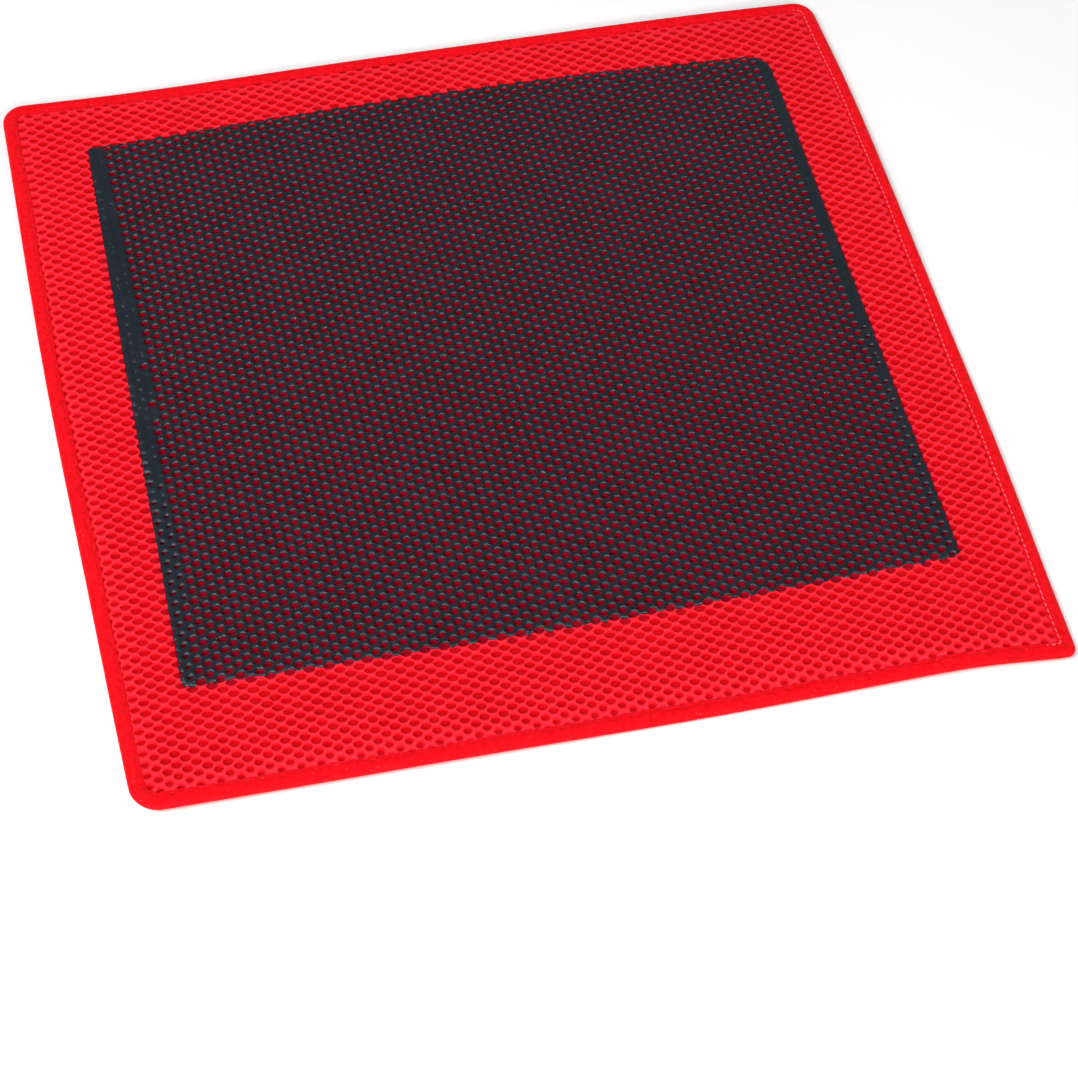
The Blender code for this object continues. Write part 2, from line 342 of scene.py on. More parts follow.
# Dye drift: slow, faint changes of shade over the cloth, with fine flecks.
drift_group, given, put_out = node_group(
    "Dye drift",
    {
        "Map": ("NodeSocketVector", (0, 0, 0)),
        "Scale": ("NodeSocketFloat", 0.6),
        "Flecks": ("NodeSocketFloat", 0.3),
    },
    ("Shade", "Fleck"),
)
flat_map, drift_scale = given.outputs["Map"], given.outputs["Scale"]
slow = node(drift_group, "ShaderNodeTexNoise", {"Vector": flat_map, "Scale": drift_scale, "Detail": 2.0})
fine = node(drift_group, "ShaderNodeTexNoise", {"Vector": flat_map, "Scale": 23.0, "Detail": 2.0})
fleck = sums(drift_group, "SUBTRACT", fine.outputs[0], 0.5)
fleck = sums(drift_group, "MULTIPLY", fleck, given.outputs["Flecks"])
drift_group.links.new(sums(drift_group, "ADD", slow.outputs[0], fleck), put_out.inputs["Shade"])
spots = node(drift_group, "ShaderNodeTexVoronoi", {"Vector": flat_map, "Scale": 9.0})
small = sums(drift_group, "LESS_THAN", spots.outputs["Distance"], 0.13)
luck = node(drift_group, "ShaderNodeSeparateXYZ", {0: spots.outputs["Color"]})
few = sums(drift_group, "GREATER_THAN", luck.outputs[0], 0.86)
drift_group.links.new(sums(drift_group, "MULTIPLY", small, few), put_out.inputs["Fleck"])


def mixed(tree, share, first, second):
    """The first colour where share is 0 and the second where it is 1."""
    return node(tree, "ShaderNodeMix", {0: share, 6: first, 7: second}, data_type="RGBA").outputs[2]


def knit_material(name, bright, deep, map_name, strands, slant, relief, crest=None):
    """Dyed polyester yarn with slow random dye drift, painted brighter on its crowns as highlight and deeper
    in its gaps as shade.
    """
    material, tree, shader = plain_material(name, 0.62, 0.12, 0.05, (1.0, 0.30, 0.35, 1))
    lie = node(tree, "ShaderNodeUVMap", uv_map=map_name)
    cut = node(tree, "ShaderNodeUVMap", uv_map="cut")
    yarn = node(tree, "ShaderNodeGroup", node_tree=yarn_group)
    tree.links.new(lie.outputs[0], yarn.inputs["Map"])
    yarn.inputs["Strands"].default_value = strands
    yarn.inputs["Slant"].default_value = slant
    drift = node(tree, "ShaderNodeGroup", node_tree=drift_group)
    tree.links.new(cut.outputs[0], drift.inputs["Map"])
    share = sums(tree, "MULTIPLY_ADD", drift.outputs["Shade"], 0.5, -0.1)
    share = sums(tree, "MULTIPLY_ADD", yarn.outputs["Shade"], 0.75, share)
    share = node(tree, "ShaderNodeClamp", {0: share}).outputs[0]
    # painted shade: the yarn's Shade darkens the colour in the gaps between strands and lightens it on their
    # crowns, on top of the random dye drift
    dye_and_painted_shading = mixed(tree, share, (*deep, 1), (*bright, 1))
    if crest:  # painted highlight: the yarn is painted paler along the tops of the bars, where light catches them
        height = node(tree, "ShaderNodeAttribute", attribute_name="crest").outputs["Fac"]
        painted_crest_highlight = sums(tree, "POWER", height, 5.0)
        painted_crest_highlight = sums(tree, "MULTIPLY", painted_crest_highlight, sums(tree, "MULTIPLY_ADD", share, 0.5, 0.5))
        dye_and_painted_shading = mixed(tree, painted_crest_highlight, dye_and_painted_shading, (*crest, 1))
    tree.links.new(dye_and_painted_shading, shader.inputs["Base Color"])
    bump = node(tree, "ShaderNodeBump", {"Height": yarn.outputs["Height"], "Distance": relief})
    bump.inputs["Strength"].default_value = 0.6
    tree.links.new(bump.outputs[0], shader.inputs["Normal"])
    rough = sums(tree, "MULTIPLY_ADD", yarn.outputs["Shade"], -0.15, 0.75)
    tree.links.new(rough, shader.inputs["Roughness"])
    return material


BACK_THICKNESS = 0.0005
PINPRICK_INSET = 0.0011  # from a cell's edge to the pinprick at the foot of its eyelet
PINPRICK_DEPTH = 0.6  # of the back's thickness


def dimpled_back():
    """The tight underside, one sheet across the fold, with a pinprick under each eyelet."""
    cells = eyelet_cells(in_cloth)
    bmesh.ops.solidify(cells, geom=cells.faces[:], thickness=BACK_THICKNESS)
    low = min(vert.co.z for vert in cells.verts)
    bmesh.ops.translate(cells, vec=(0, 0, -low), verts=cells.verts)
    under = [face for face in cells.faces if face.calc_center_median().z < BACK_THICKNESS * 0.1]
    bmesh.ops.inset_individual(cells, faces=under, thickness=PINPRICK_INSET, use_even_offset=True)
    for face in under:
        for vert in face.verts:
            vert.co.z += BACK_THICKNESS * PINPRICK_DEPTH
    cut_at_fold(cells)
    mesh = mesh_from("tricot_back", cells)
    lay_mesh(mesh, squeeze(mesh_points(mesh)))
    return mesh


back_red = knit_material("Back tricot", (0.90, 0.012, 0.028), (0.60, 0.002, 0.008), "cut", 16.0, 22.0, 0.0002)
tricot_back = add_piece(dimpled_back(), back_red, ("back_knit_left", "back_knit_right"))

# ---------------------------------------------------------------- pile
# The upright polyester monofilament that holds the face off the back. It stands in walls round each
# eyelet, under the bars of the face, and is knitted into both. It is made in a left and a right half.

PILE_FOOT = 0.0004
PILE_HEAD = 0.0023
PILE_HEAD_IN_CLAY = 0.0028  # the clay has soaked the net here, so only its walls are seen
PILE_WELL = 0.0015  # how low the filaments lie in the middle of an eyelet
PILE_WELL_IN_CLAY = 0.0012
CLAY_LOW = Vector((-0.1325, -0.1135))
CLAY_HIGH = Vector((0.1320, 0.1325))
CLAY_LEAN = 0.0030  # how far the print's left edge leans, each way from its middle
CLAY_BOW = (0.0020, 0.0040)  # how far its front and back edges fall back towards the corners


def clay_inset(x, y):
    """How far in from the edge of the clay print each point lies; less than 0 outside it."""
    middle_y = (CLAY_LOW.y + CLAY_HIGH.y) / 2
    share = (x - (CLAY_LOW.x + CLAY_HIGH.x) / 2) / ((CLAY_HIGH.x - CLAY_LOW.x) / 2)
    left = CLAY_LOW.x + CLAY_LEAN * (y - middle_y) / (CLAY_HIGH.y - middle_y)
    front = CLAY_LOW.y + CLAY_BOW[0] * share**2
    back = CLAY_HIGH.y - CLAY_BOW[1] * share**2
    return np.minimum(np.minimum(x - left, CLAY_HIGH.x - x), np.minimum(y - front, back - y))


def eyelet_rim(eyelet, bearing, grow=0.0):
    """Where an eyelet's rim lies at each bearing: an almond in bare cloth, rounder in the clay."""
    x, y = eyelet[:, 0], eyelet[:, 1]
    clay = ease(clay_inset(x, y), -0.001, 0.003)
    gripped = 1 - ease(edge_inset(x, y), 0.0070, 0.0130)
    front = ease(-y, 0.122, 0.146) * (1 - clay)
    column, row = np.round(x / EYELET_ACROSS * 2), np.round(y / EYELET_ALONG * 2)
    long = 0.00202 - 0.00056 * clay - 0.00036 * front - 0.00042 * gripped
    long *= 0.94 + 0.12 * chance(column, row)
    back = ease(y, -0.06, 0.12)
    wide = 0.00112 + 0.00006 * clay + 0.00004 * front - 0.00028 * gripped - 0.00015 * back
    wide *= 0.91 + 0.18 * chance(column, row, 1)
    almond = 0.68 - 0.58 * clay - 0.40 * front
    across = np.cos(bearing)
    along = np.sin(bearing)
    rim = np.stack(
        [(long + grow) * across, (wide + grow) * along * ((1 - almond) + almond * np.abs(along))], axis=1
    )
    rim[:, 0] += 0.00012 * (chance(column, row, 2) - 0.5)
    rim[:, 1] += 0.00012 * (chance(column, row, 3) - 0.5)
    return eyelet + rim


def cell_rim(eyelet, bearing):
    """Where an eyelet's cell meets its neighbours, at bearings that are whole twelfths of a turn."""
    reach = np.where(np.round(bearing / (math.pi / 6)).astype(int) % 2 == 0, 1.0, math.sqrt(3) / 2)
    return eyelet + np.stack([np.cos(bearing), np.sin(bearing)], axis=1) * reach[:, None] * CELL_SIZE


def pile_half(name, side):
    """Half of the pile, as a close mat with a well at each eyelet."""
    cells = eyelet_cells(lambda x, y: in_cloth(x, y) & (side * x > -0.003))
    bmesh.ops.solidify(cells, geom=cells.faces[:], thickness=0.001)
    middle = sum(vert.co.z for vert in cells.verts) / len(cells.verts)
    tops = [face for face in cells.faces if face.calc_center_median().z > middle + 0.0003]
    for _ in range(2):
        bmesh.ops.inset_individual(cells, faces=tops, thickness=0.00025, use_even_offset=True)
    points = points_of(cells)
    eyelet, rim, bearing = eyelet_cell(points[:, 0], points[:, 1])
    bearing = np.round(bearing / (math.pi / 3)) * (math.pi / 3)
    upper = points[:, 2] > middle
    lip = upper & (rim < 0.94)
    well = upper & (rim < 0.81)
    points[lip, :2] = eyelet_rim(eyelet[lip], bearing[lip], 0.00014)
    points[well, :2] = eyelet_rim(eyelet[well], bearing[well], -0.00022)
    soaked = ease(clay_inset(points[:, 0], points[:, 1]), 0.0, 0.004)
    points[:, 2] = np.where(upper, PILE_HEAD + (PILE_HEAD_IN_CLAY - PILE_HEAD) * soaked, PILE_FOOT)
    uneven = 0.0003 * (chance(eyelet[:, 0] * 800, eyelet[:, 1] * 800) - 0.5)
    points[well, 2] = (PILE_WELL + (PILE_WELL_IN_CLAY - PILE_WELL) * soaked + uneven)[well]
    move_points(cells, points)
    clear_beyond(cells, (0, 0, 0), (-side, 0, 0))
    cut_at_fold(cells)
    mesh = mesh_from(name, cells)
    flat = mesh_points(mesh)
    # in_clay marks where the pile is painted darker as shade, with a dimmer painted glow
    in_clay = ease(clay_inset(flat[:, 0], flat[:, 1]), -0.0016, 0.0004)
    clay = mesh.attributes.new("in_clay", "FLOAT", "POINT")
    clay.data.foreach_set("value", in_clay.astype(np.float32))
    lay_mesh(mesh, squeeze(flat))
    return mesh


def pile_material():
    """Red monofilament, seen end on and from the side; painted darker under the clay as shade from its walls,
    with painted shade in the gaps between filaments and a faint painted glow.
    """
    material, tree, shader = plain_material("Pile", 0.7, 0.08, 0.05, (1.0, 0.3, 0.35, 1))
    lie = node(tree, "ShaderNodeUVMap", uv_map="yarn")
    cut = node(tree, "ShaderNodeUVMap", uv_map="cut")
    yarn = node(tree, "ShaderNodeGroup", node_tree=yarn_group)
    tree.links.new(lie.outputs[0], yarn.inputs["Map"])
    yarn.inputs["Strands"].default_value = 26.0
    yarn.inputs["Slant"].default_value = 2.0
    drift = node(tree, "ShaderNodeGroup", node_tree=drift_group)
    tree.links.new(cut.outputs[0], drift.inputs["Map"])
    share = sums(tree, "MULTIPLY_ADD", drift.outputs["Shade"], 0.6, -0.1)
    share = sums(tree, "MULTIPLY_ADD", yarn.outputs["Shade"], 0.5, share)
    share = node(tree, "ShaderNodeClamp", {0: share}).outputs[0]
    # painted shade: the yarn's Shade deepens the colour between the filaments, and under the clay the whole
    # pile is painted darker, as shaded by the clay walls
    bare = mixed(tree, share, (0.50, 0.000, 0.002, 1), (0.76, 0.001, 0.006, 1))
    under = mixed(tree, share, (0.22, 0.000, 0.008, 1), (0.42, 0.001, 0.018, 1))
    clay = node(tree, "ShaderNodeAttribute", attribute_name="in_clay").outputs["Fac"]
    tree.links.new(mixed(tree, clay, bare, under), shader.inputs["Base Color"])
    # painted glow: a faint red emission stands in for light that comes through the thin walls, dimmer under
    # the clay
    painted_glow = mixed(tree, clay, (0.06, 0.0, 0.001, 1), (0.01, 0.0, 0.001, 1))  # light that comes through
    tree.links.new(painted_glow, shader.inputs["Emission Color"])
    shader.inputs["Emission Strength"].default_value = 1.0
    bump = node(tree, "ShaderNodeBump", {"Height": yarn.outputs["Height"], "Distance": 0.0002})
    bump.inputs["Strength"].default_value = 0.6
    tree.links.new(bump.outputs[0], shader.inputs["Normal"])
    return material


pile_red = pile_material()
pile_left = add_piece(pile_half("pile_left", -1), pile_red, ("spacer_pile_left",), 60)
pile_right = add_piece(pile_half("pile_right", 1), pile_red, ("spacer_pile_right",), 60)

# ---------------------------------------------------------------- face of the spacer cloth
# The open side of the spacer knit: red polyester bars round almond eyelets, in staggered rows. The
# bars are plied loops, knitted in one with the pile. Under the clay only a margin of them is made.

FACE_FOOT = 0.0021
FACE_LIP = 0.00244
FACE_CROWN = 0.00285


def toward_front(y):
    """0 towards the back of the towel and 1 towards its front."""
    return ease(-y, -0.04, 0.11)


def ring_places(points):
    """For each point of a net: its eyelet, its bearing, and whether it is above, on the lip or the hole."""
    eyelet, rim, bearing = eyelet_cell(points[:, 0], points[:, 1])
    bearing = np.round(bearing / (math.pi / 6)) * (math.pi / 6)
    upper = points[:, 2] > points[:, 2].mean()
    return eyelet, bearing, upper, (rim < 0.94) & (rim > 0.81), rim <= 0.81


def net_half(side, keep, levels, roundness, narrow=None, closed=None):
    """Half of a net with rounded bars. levels are the heights of its foot, its lips and its crowns."""
    cells = eyelet_cells(lambda x, y: keep(x, y) & (side * x > -0.003))
    bmesh.ops.bisect_edges(cells, edges=cells.edges[:], cuts=1)
    open_eyelets(cells, 2, closed)
    bmesh.ops.solidify(cells, geom=cells.faces[:], thickness=0.001)
    _, _, upper, lip_ring, _ = ring_places(points_of(cells))
    cells.verts.index_update()
    spare = lip_ring & ~upper
    under = [edge for edge in cells.edges if spare[edge.verts[0].index] and spare[edge.verts[1].index]]
    bmesh.ops.dissolve_edges(cells, edges=under, use_verts=True)
    points = points_of(cells)
    eyelet, bearing, upper, lip_ring, hole_ring = ring_places(points)
    hole = eyelet_rim(eyelet, bearing)
    crown = cell_rim(eyelet, bearing)
    tight = narrow(eyelet[:, 0], eyelet[:, 1]) if narrow else np.zeros(len(points), bool)
    shut = closed(eyelet[:, 0], eyelet[:, 1]) if closed else tight
    luck = chance(eyelet[:, 0] * 900, eyelet[:, 1] * 900)
    size = np.where(tight, 0.32 + 0.16 * luck + 0.22 * toward_front(eyelet[:, 1]), 1.0)[:, None]
    hole = eyelet + (hole - eyelet) * size
    points[lip_ring, :2] = (hole + roundness[0] * (crown - hole))[lip_ring]
    points[hole_ring, :2] = hole[hole_ring]
    foot, lip, top = levels
    points[:, 2] = np.where(upper, top, foot)
    points[upper & lip_ring, 2] = lip + roundness[1] * (top - lip)
    points[hole_ring, 2] = lip  # the bar's round top and its underside meet at the hole
    dent = 0.00022 + 0.00026 * luck  # how deep a dimple a shut eyelet leaves
    dented = hole_ring & shut
    points[dented, 2] = (top - dent - np.where(upper, 0, 0.0003))[dented]
    move_points(cells, points)
    bmesh.ops.remove_doubles(cells, verts=cells.verts, dist=0.000001)
    return cells


def face_net(name, side):
    """Half of the open red face, with a margin that runs in under the clay."""

    def keep(x, y):
        return in_cloth(x, y) & (clay_inset(x, y) < 0.0045)

    cells = net_half(side, keep, (FACE_FOOT, FACE_LIP, FACE_CROWN), (0.30, 0.66))
    clear_beyond(cells, (0, 0, 0), (-side, 0, 0))
    mesh = mesh_from(name, cells)
    flat = mesh_points(mesh)
    # crest: how high each point stands on its bar, the mask for the painted highlight along the crests
    crest = mesh.attributes.new("crest", "FLOAT", "POINT")
    height = np.clip((flat[:, 2] - FACE_LIP) / (FACE_CROWN - FACE_LIP), 0, 1)
    crest.data.foreach_set("value", height.astype(np.float32))
    lay_mesh(mesh, squeeze(flat))
    return mesh


# the last colour is the painted highlight along the crests of the bars
face_red = knit_material(
    "Face bars", (0.95, 0.007, 0.020), (0.70, 0.001, 0.007), "yarn", 17.0, 9.0, 0.0002, (1.0, 0.036, 0.070)
)
face_left = add_piece(face_net("eyelet_face_left", -1), face_red, ("face_mesh_left",))
face_right = add_piece(face_net("eyelet_face_right", 1), face_red, ("face_mesh_right",))

# ---------------------------------------------------------------- clay coat
# Polymer clay, screen-printed on the face and cured: a soft, dark, rubbery net that wraps the bars
# and leaves the eyelets open, but for a thick strip at each side, where they are narrow or shut.

CLAY_FOOT = 0.0026
CLAY_LIP = 0.00286
CLAY_CROWN = 0.00350
STRIP_WIDTH = 0.0068
EDGE_SLUMP = 0.00035  # how much lower the clay is at the very edge of the print
PRINT_MIDDLE = 0.0095  # the print's middle, front to back
PRINT_ENDS = (0.112, 0.118)  # from its middle, where the front and back edges begin


def in_strip(x, y):
    """Whether an eyelet is in the thick strip at the print's left or right side, where it is narrow."""
    middle_y = (CLAY_LOW.y + CLAY_HIGH.y) / 2
    left = CLAY_LOW.x + CLAY_LEAN * (y - middle_y) / (CLAY_HIGH.y - middle_y)
    side = np.minimum(x - left, CLAY_HIGH.x - x)
    ragged = 0.0013 * (chance(np.round(x * 900), np.round(y * 900)) - 0.5)
    return side < STRIP_WIDTH - 0.0016 * (x > 0) - 0.0014 * ease(-y, 0.02, 0.11) + ragged


def clogged(x, y):
    """Whether the clay has shut an eyelet altogether, as it has towards the back of each strip."""
    ragged = chance(np.round(x * 900), np.round(y * 900), 4)
    return in_strip(x, y) & (toward_front(y) < 0.15 + 0.5 * ragged)


def bow_ends(points, straight=False):
    """Gives the print's straight front and back edges their bow, or takes the bow out again."""
    share = (points[:, 0] - (CLAY_LOW.x + CLAY_HIGH.x) / 2) / ((CLAY_HIGH.x - CLAY_LOW.x) / 2)
    squash = share**2 * sum(CLAY_BOW) / (CLAY_HIGH.y - CLAY_LOW.y)
    shift = share**2 * CLAY_BOW[0] + squash * CLAY_LOW.y
    bowed = points.copy()
    bowed[:, 1] = (points[:, 1] - shift) / (1 - squash) if straight else points[:, 1] * (1 - squash) + shift
    return bowed


def trim_print(cells, side):
    """Cuts one half of the print to its outline, with a rounder corner at the back right."""
    clear_beyond(cells, (0, 0, 0), (-side, 0, 0))
    move_points(cells, bow_ends(points_of(cells), straight=True))
    clear_beyond(cells, (0, CLAY_LOW.y, 0), (0, -1, 0))
    clear_beyond(cells, (0, CLAY_HIGH.y, 0), (0, 1, 0))
    if side < 0:
        lean = CLAY_LEAN / (CLAY_HIGH.y - CLAY_LOW.y) * 2
        clear_beyond(cells, (CLAY_LOW.x, (CLAY_LOW.y + CLAY_HIGH.y) / 2, 0), (-1, lean, 0))
    else:
        clear_beyond(cells, (CLAY_HIGH.x, 0, 0), (1, 0, 0))
    for end in (-1, 1):
        edge_x = CLAY_HIGH.x if side > 0 else CLAY_LOW.x + CLAY_LEAN * end
        radius, bearings = (0.0085, (17, 45, 73)) if (side, end) == (1, 1) else (0.0018, (45,))
        centre = Vector((edge_x - side * radius, (CLAY_HIGH.y if end > 0 else CLAY_LOW.y) - end * radius, 0))
        for bearing in bearings:
            way = Vector((side * math.cos(math.radians(bearing)), end * math.sin(math.radians(bearing)), 0))
            clear_beyond(cells, centre + way * radius, way)
    move_points(cells, bow_ends(points_of(cells)))


def clay_net(name, side):
    """Half of the clay print, slumped and a little ragged at its edges."""

    def keep(x, y):
        return clay_inset(x, y) > -0.003

    cells = net_half(side, keep, (CLAY_FOOT, CLAY_LIP, CLAY_CROWN), (0.22, 0.78), in_strip, clogged)
    trim_print(cells, side)
    mesh = mesh_from(name, cells)
    points = mesh_points(mesh)
    bare = 1 - ease(clay_inset(points[:, 0], points[:, 1]), 0.0, 0.0009)
    upper = points[:, 2] > CLAY_FOOT + 0.0001
    points[upper, 2] -= EDGE_SLUMP * bare[upper]
    ends = bare * ease(np.abs(points[:, 1] - PRINT_MIDDLE), *PRINT_ENDS)
    x = points[:, 0]
    points[:, 1] += ends * (0.00030 * np.sin(x / 0.00061) + 0.00024 * np.sin(x / 0.00137 + 1.0))
    points[:, 0] += (bare - ends) * 0.00016 * np.sin(points[:, 1] / 0.0009)
    lay_mesh(mesh, points)
    return mesh


def clay_material():
    """Cured clay: slate black, half glossy, with fine grit and a few pale specks."""
    material, tree, shader = plain_material("Clay", 0.4, 0.45, 0.0)
    cut = node(tree, "ShaderNodeUVMap", uv_map="cut")
    drift = node(tree, "ShaderNodeGroup", node_tree=drift_group)
    tree.links.new(cut.outputs[0], drift.inputs["Map"])
    drift.inputs["Flecks"].default_value = 0.5
    share = node(tree, "ShaderNodeClamp", {0: drift.outputs["Shade"]}).outputs[0]
    base = mixed(tree, share, (0.002, 0.005, 0.009, 1), (0.006, 0.014, 0.025, 1))
    speck = sums(tree, "MULTIPLY", drift.outputs["Fleck"], 0.5)
    tree.links.new(mixed(tree, speck, base, (0.45, 0.42, 0.40, 1)), shader.inputs["Base Color"])
    tree.links.new(sums(tree, "MULTIPLY_ADD", share, 0.22, 0.24), shader.inputs["Roughness"])
    grit = node(tree, "ShaderNodeTexNoise", {"Vector": cut.outputs[0], "Scale": 30.0, "Detail": 3.0})
    bump = node(tree, "ShaderNodeBump", {"Height": grit.outputs[0], "Distance": 0.0001})
    bump.inputs["Strength"].default_value = 0.35
    tree.links.new(bump.outputs[0], shader.inputs["Normal"])
    return material


clay_black = clay_material()
clay_left = add_piece(clay_net("clay_left", -1), clay_black, ("clay_coat_left",))
clay_right = add_piece(clay_net("clay_right", 1), clay_black, ("clay_coat_right",))

# ---------------------------------------------------------------- edge binding
# A tape of fine red tricot, folded over the towel's raw edge and topstitched. It is one strip that
# goes all the way round, eased round the corners, and the seam pulls a small dip at every stitch.

STITCHES = 512
STITCH_INSET = 0.0047
TIGHTEST_RADIUS = 0.0009  # of a corner on any line inside the outline
TAPE_STEPS = 2048
TAPE_PROFILE = 0.001 * np.array(  # inset from the outline, and height, round the folded tape
    [(5.40, 2.36), (5.58, 2.52), (5.46, 2.72), (5.16, 2.79), (4.92, 2.70), (4.70, 2.62), (4.48, 2.72)]
    + [(4.15, 2.88), (3.60, 2.99), (2.90, 3.03), (2.20, 3.02), (1.55, 2.93), (0.95, 2.72), (0.50, 2.38)]
    + [(0.17, 1.93), (0.02, 1.50), (0.06, 1.05), (0.26, 0.62), (0.66, 0.27), (1.30, 0.05), (2.20, 0.00)]
    + [(3.50, 0.02), (4.25, 0.10), (4.70, 0.28), (5.10, 0.10), (5.45, 0.14), (5.55, 0.36), (5.35, 0.52)]
    + [(1.60, 0.55), (1.25, 1.45), (1.60, 2.34), (5.40, 2.36)]
)


def edge_point(turn, inset):
    """Points round the towel's edge, inset from its outline; turn runs from 0 to 4, a corner each."""
    turn = turn % 4
    corner = np.minimum(turn.astype(int), 3)
    share = turn - corner
    radius = np.maximum(CORNER_RADII[corner] - inset, TIGHTEST_RADIUS)
    reach = np.stack([HALF_WIDTH - inset, HALF_DEPTH - inset], axis=1) - radius[:, None]
    centre = CORNER_SIGNS[corner] * reach
    start = math.pi / 2 * (corner - 1)
    angle = start + np.clip((share - 0.45) / 0.1, 0, 1) * math.pi / 2
    point = centre + radius[:, None] * np.stack([np.cos(angle), np.sin(angle)], axis=1)
    run_in = np.stack([-np.sin(start), np.cos(start)], axis=1)
    run_out = np.stack([-np.cos(start), -np.sin(start)], axis=1)
    before = (0.45 - np.minimum(share, 0.45)) / 0.45
    after = (np.maximum(share, 0.55) - 0.55) / 0.45
    point -= run_in * ((point * run_in).sum(axis=1) * before)[:, None]
    point -= run_out * ((point * run_out).sum(axis=1) * after)[:, None]
    across, along = point[:, 0] / HALF_WIDTH, point[:, 1] / HALF_DEPTH
    point[:, 0] -= across * SIDE_BOW * along**2
    point[:, 1] -= along * END_BOW * across**2
    return point


def round_the_edge(share, inset, height):
    """Bends a straight seam round the towel. share is 0 to 1 of the tape's length."""
    turns = np.linspace(0, 4, 8001)
    length = np.zeros(len(turns))
    for across in (0.0, STITCH_INSET):
        line = edge_point(turns, np.full(len(turns), across))
        length[1:] += np.cumsum(np.hypot(*np.diff(line, axis=0).T))
    turn = np.interp(share % 1, length / length[-1], turns)
    sway = 1 + 0.035 * np.sin(share * 2 * math.pi * 23) + 0.03 * np.sin(share * 2 * math.pi * 9 + 1)
    flat = np.empty((len(share), 3))
    flat[:, :2] = edge_point(turn, inset * np.where(inset > 0.0008, sway, 1))
    flat[:, 2] = height
    return lay(flat)


def tape_mesh():
    """The folded tape: a closed strip bent round the towel, dipping at each stitch and frayed."""
    tape = bmesh.new()
    tape.loops.layers.uv.new("yarn")
    strips = len(TAPE_PROFILE) - 1  # side by side across the tape
    bmesh.ops.create_grid(tape, x_segments=TAPE_STEPS, y_segments=strips, size=1, calc_uvs=True)
    points = points_of(tape)
    share = (points[:, 0] + 1) / 2
    place = np.round((points[:, 1] + 1) / 2 * strips).astype(int)
    inset, height = TAPE_PROFILE[place].T
    stitch = 0.5 + 0.5 * np.cos(share * STITCHES * 2 * math.pi)
    near_seam = np.exp(-(((inset - STITCH_INSET) / 0.0007) ** 2))
    outward = np.where(height > 0.0015, 1, -1)
    leg = ease(inset, 0.0010, 0.0030)
    height = height - outward * near_seam * 0.00016 * (stitch - 0.5)
    height = height + outward * leg * 0.00006 * np.sin(share * 2 * math.pi * 211 + inset * 900)
    step = np.round(share * TAPE_STEPS) % TAPE_STEPS
    height = height + outward * leg * 0.00007 * (chance(step, inset * 5000) - 0.5)
    frayed = 0.00034 * (stitch - 0.5) + 0.00022 * (chance(step, 3.0) - 0.5)
    inset = inset + frayed * ease(inset, 0.0050, 0.0053)
    move_points(tape, round_the_edge(share, inset, height))
    bmesh.ops.remove_doubles(tape, verts=tape.verts, dist=0.000002)
    bmesh.ops.recalc_face_normals(tape, faces=tape.faces)
    if tape.calc_volume(signed=True) < 0:
        bmesh.ops.reverse_faces(tape, faces=tape.faces)
    mesh = bpy.data.meshes.new("binding_tape")
    tape.to_mesh(mesh)
    tape.free()
    return mesh


def tape_material():
    """Fine tricot tape: close ribs along it, small loops across, and a little pale lint."""
    material, tree, shader = plain_material("Binding tape", 0.6, 0.07, 0.04, (1.0, 0.3, 0.35, 1))
    lie = node(tree, "ShaderNodeUVMap", uv_map="yarn")
    long_way = node(tree, "ShaderNodeMapping", {0: lie.outputs[0], "Scale": (125.0, 1.9, 1.0)})
    yarn = node(tree, "ShaderNodeGroup", node_tree=yarn_group)
    tree.links.new(long_way.outputs[0], yarn.inputs["Map"])
    yarn.inputs["Strands"].default_value = 12.0
    yarn.inputs["Slant"].default_value = 13.0
    drift = node(tree, "ShaderNodeGroup", node_tree=drift_group)
    tree.links.new(long_way.outputs[0], drift.inputs["Map"])
    drift.inputs["Scale"].default_value = 5.0
    drift.inputs["Flecks"].default_value = 0.8
    share = sums(tree, "MULTIPLY_ADD", drift.outputs["Shade"], 1.8, -0.6)
    share = sums(tree, "MULTIPLY_ADD", yarn.outputs["Shade"], 0.5, share)
    share = node(tree, "ShaderNodeClamp", {0: share}).outputs[0]
    # painted shade: the yarn's Shade deepens the colour in the gaps between the ribs, over the slow random
    # mottling
    dye_and_painted_shading = mixed(tree, share, (0.64, 0.000, 0.001, 1), (1.0, 0.004, 0.014, 1))
    lint = sums(tree, "MULTIPLY", drift.outputs["Fleck"], 0.55)
    tree.links.new(mixed(tree, lint, dye_and_painted_shading, (1.0, 0.30, 0.32, 1)), shader.inputs["Base Color"])
    bump = node(tree, "ShaderNodeBump", {"Height": yarn.outputs["Height"], "Distance": 0.0002})
    bump.inputs["Strength"].default_value = 0.7
    tree.links.new(bump.outputs[0], shader.inputs["Normal"])
    tree.links.new(sums(tree, "MULTIPLY_ADD", yarn.outputs["Shade"], -0.12, 0.72), shader.inputs["Roughness"])
    return material


tape = add_piece(
    tape_mesh(), tape_material(), ("edge_binding_left", "edge_binding_right"), 70
)

# ---------------------------------------------------------------- topstitch
# One lockstitch seam through the tape and the cloth: needle thread on the clay side, bobbin thread
# on the back. The thread is glossy polyester, two plies twisted, a little pinker than the tape; its paler
# pink is partly painted highlight on the crowns of the plies, and the gaps between them are painted deeper as
# shade.

STITCH_LENGTH = 0.0017
THREAD_THICKNESS = 0.00046
SEAM_LENGTH = 1.228  # once round the towel
NEEDLE_HEIGHT = 0.00276
BOBBIN_HEIGHT = 0.00018
SUNK = 0.00032  # how deep the stitches are pulled in, all but the right side's
ROW_PITCH = 0.01  # between stitches while they are still a straight row


